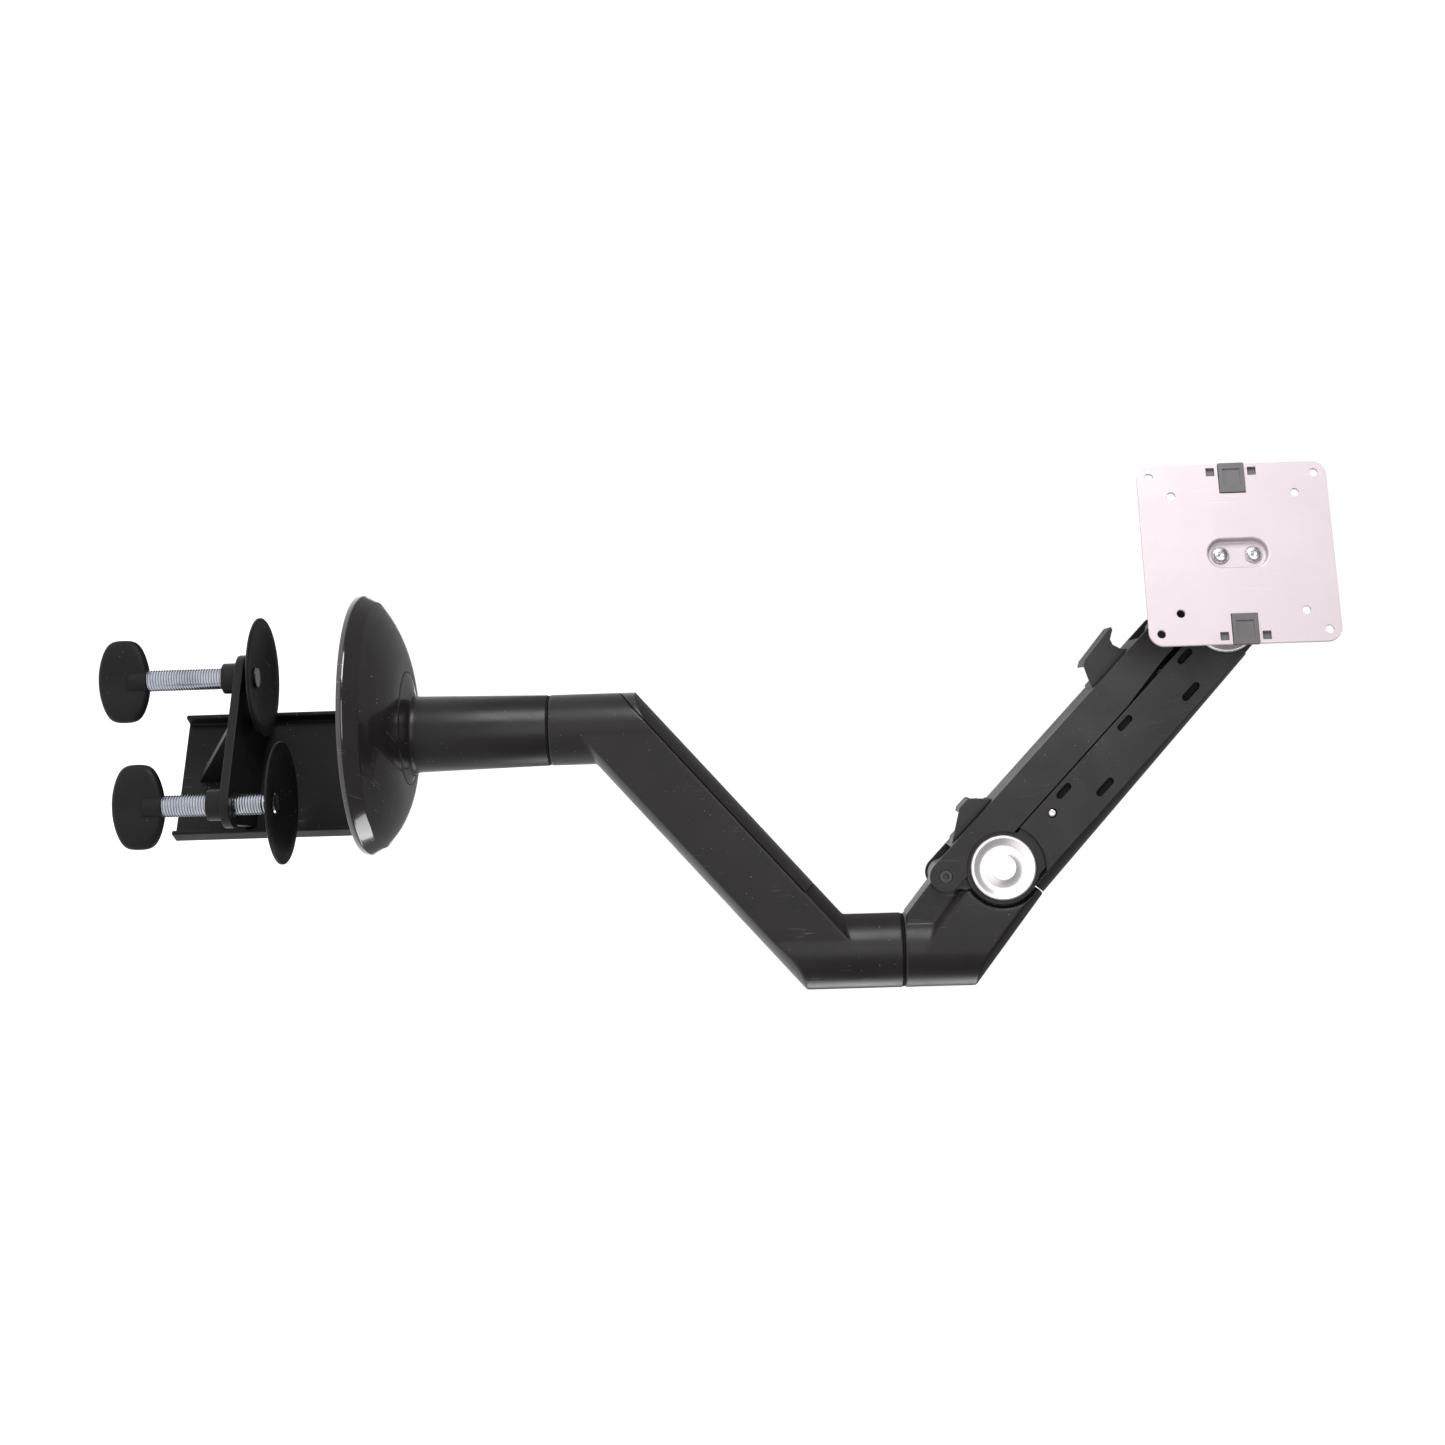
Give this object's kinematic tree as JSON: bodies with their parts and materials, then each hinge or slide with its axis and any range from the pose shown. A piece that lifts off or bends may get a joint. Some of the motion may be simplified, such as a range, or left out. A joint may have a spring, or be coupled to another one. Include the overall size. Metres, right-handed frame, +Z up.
{
  "type": "monitor arm",
  "caption": "Counterbalanced desk-clamp arm that holds a screen by a square bolt plate, with a swivelling post, folding links, a levelling head and thumb-screw clamp.",
  "frame": {"origin": "on the post axis at the desk top, at the underside of the base pad", "axes": "+Z up along the post, -Y in over the desk, X along the desk's edge"},
  "size_m": [0.2656, 0.2041, 0.7839],
  "materials": {
    "satin_black": "satin black paint on die-cast aluminium",
    "powder_black": "fine powder coat",
    "gloss_black": "high gloss",
    "strip_black": "semi gloss",
    "sheet_black": "satin paint",
    "cover_black": "semi gloss paint",
    "clip_black": "fine moulded grain",
    "paddle_black": "moulded grain",
    "pad_rubber": "matte",
    "zinc": "bright zinc plate",
    "bare_steel": "turned",
    "bolt_steel": "zinc plate",
    "pin_black": "black oxide",
    "spring_steel": "oiled",
    "bright_chrome": "polished",
    "plate_steel": "silver paint on steel",
    "latch_grey": "satin moulded",
    "nylon": "natural",
    "seam_black": "matte"
  },
  "bodies": {
    "clamp": {"base_pad": "pad_rubber", "base_plate": "powder_black", "base_cover": "gloss_black", "cover_ring": "gloss_black", "clamp_channel": "powder_black", "clamp_shelf": "powder_black", "clamp_gusset": "powder_black", "screw_collars": "powder_black", "post_tube": "bare_steel", "post_sleeve": "satin_black", "post_bushes": "nylon", "post_washer": "seam_black", "post_bolts": "bolt_steel"},
    "disc_a": {"pressure_disc_a": "powder_black"},
    "screw_a": {"clamp_screw_a": "zinc", "thumb_paddle_a": "paddle_black"},
    "disc_b": {"pressure_disc_b": "powder_black"},
    "screw_b": {"clamp_screw_b": "zinc", "thumb_paddle_b": "paddle_black"},
    "lower_link": {"lower_link": "satin_black", "link_shaft": "bare_steel", "link_shaft_retainer": "bare_steel", "elbow_bushes": "nylon", "elbow_washer": "seam_black"},
    "cable_cover": {"link_cable_cover": "strip_black"},
    "elbow": {"elbow_casting": "satin_black", "elbow_shaft": "bare_steel", "elbow_shaft_retainer": "bare_steel", "pivot_bushes": "nylon", "crank_pin": "bare_steel", "link_pin_lower": "pin_black"},
    "arm": {"arm_frame": "sheet_black", "arm_cheeks": "sheet_black", "arm_cover": "cover_black", "pivot_caps": "bright_chrome", "end_caps": "bright_chrome", "lift_axle": "bare_steel", "end_axle": "bare_steel", "cheek_screws": "bolt_steel", "spring_block": "bare_steel", "lift_spring": "spring_steel"},
    "spring_rod": {"spring_yoke": "bare_steel", "spring_nut": "bare_steel"},
    "parallel_link": {"parallel_link": "sheet_black", "cable_clip_near": "clip_black", "cable_clip_far": "clip_black"},
    "knuckle": {"end_knuckle": "satin_black", "end_bushes": "nylon", "link_pin_upper": "pin_black", "swivel_bushes": "nylon"},
    "head": {"head_yoke": "satin_black", "swivel_pin": "bare_steel", "tilt_bolt": "bolt_steel"},
    "tilt": {"tilt_block": "satin_black"},
    "plate": {"vesa_plate": "plate_steel", "plate_hub": "bare_steel", "plate_screws": "bolt_steel"},
    "latch_left": {"latch_left": "latch_grey"},
    "latch_right": {"latch_right": "latch_grey"}
  },
  "joints": [
    {"name": "post_swivel", "type": "hinge", "parent": "clamp", "child": "lower_link", "pos_m": [0, 0, 0.118], "axis": [0, 0, 1], "range_deg": [-180, 180]},
    {"name": "cable_cover_lift", "type": "slide", "parent": "lower_link", "child": "cable_cover", "axis": [-0.5824, -0.3097, 0.7516], "range_m": [0, 0.03]},
    {"name": "elbow_swivel", "type": "hinge", "parent": "lower_link", "child": "elbow", "pos_m": [0.12979, 0.06901, 0.339], "axis": [0, 0, 1], "range_deg": [-180, 180]},
    {"name": "arm_lift", "type": "hinge", "parent": "elbow", "child": "arm", "pos_m": [0.08388, 0.0446, 0.402], "axis": [-0.4695, 0.8829, 0], "range_deg": [-80, 0], "stiffness_Nm_per_rad": 3, "springref_deg": 114.59},
    {"name": "spring_pull", "type": "slide", "parent": "arm", "child": "spring_rod", "axis": [-0.6394, -0.34, 0.6896], "range_m": [-0.0182, 0], "deforming": ["lift_spring"]},
    {"name": "link_lift", "type": "hinge", "parent": "elbow", "child": "parallel_link", "pos_m": [0.08794, 0.04676, 0.366], "axis": [-0.4695, 0.8829, 0], "range_deg": [-80, 0]},
    {"name": "knuckle_level", "type": "hinge", "parent": "arm", "child": "knuckle", "pos_m": [-0.04912, -0.02612, 0.54544], "axis": [-0.4695, 0.8829, 0], "range_deg": [0, 80]},
    {"name": "head_swivel", "type": "hinge", "parent": "knuckle", "child": "head", "pos_m": [-0.06978, -0.0371, 0.54544], "axis": [0, 0, 1], "range_deg": [-165.5, 14.5]},
    {"name": "head_tilt", "type": "hinge", "parent": "head", "child": "tilt", "pos_m": [-0.06021, -0.07697, 0.54544], "axis": [-0.9724, -0.2334, 0], "range_deg": [-40, 40]},
    {"name": "plate_turn", "type": "hinge", "parent": "tilt", "child": "plate", "pos_m": [-0.0554, -0.097, 0.54544], "axis": [0.2334, -0.9724, 0], "range_deg": [-90, 90]},
    {"name": "latch_left_press", "type": "slide", "parent": "plate", "child": "latch_left", "axis": [-0.2334, 0.9724, 0], "range_m": [0, 0.0025], "stiffness_N_per_m": 400, "springref_m": -0.002},
    {"name": "latch_right_press", "type": "slide", "parent": "plate", "child": "latch_right", "axis": [-0.2334, 0.9724, 0], "range_m": [0, 0.0025], "stiffness_N_per_m": 400, "springref_m": -0.002},
    {"name": "disc_a_travel", "type": "slide", "parent": "clamp", "child": "disc_a", "axis": [0, 0, 1], "range_m": [0, 0.048]},
    {"name": "screw_a_turn", "type": "hinge", "parent": "disc_a", "child": "screw_a", "pos_m": [-0.046, 0, 0], "axis": [0, 0, 1], "range_deg": [0, 9875]},
    {"name": "disc_b_travel", "type": "slide", "parent": "clamp", "child": "disc_b", "axis": [0, 0, 1], "range_m": [-0.021, 0.027]},
    {"name": "screw_b_turn", "type": "hinge", "parent": "disc_b", "child": "screw_b", "pos_m": [0.046, 0, 0], "axis": [0, 0, 1], "range_deg": [-4320, 5555]}
  ],
  "couplings": [
    {"joint": "spring_pull", "follows": "arm_lift", "m_per_rad": 0.012865},
    {"joint": "link_lift", "follows": "arm_lift", "ratio": 1},
    {"joint": "knuckle_level", "follows": "arm_lift", "ratio": -1},
    {"joint": "screw_a_turn", "follows": "disc_a_travel", "rad_per_m": 3590.4},
    {"joint": "screw_b_turn", "follows": "disc_b_travel", "rad_per_m": 3590.4}
  ]
}
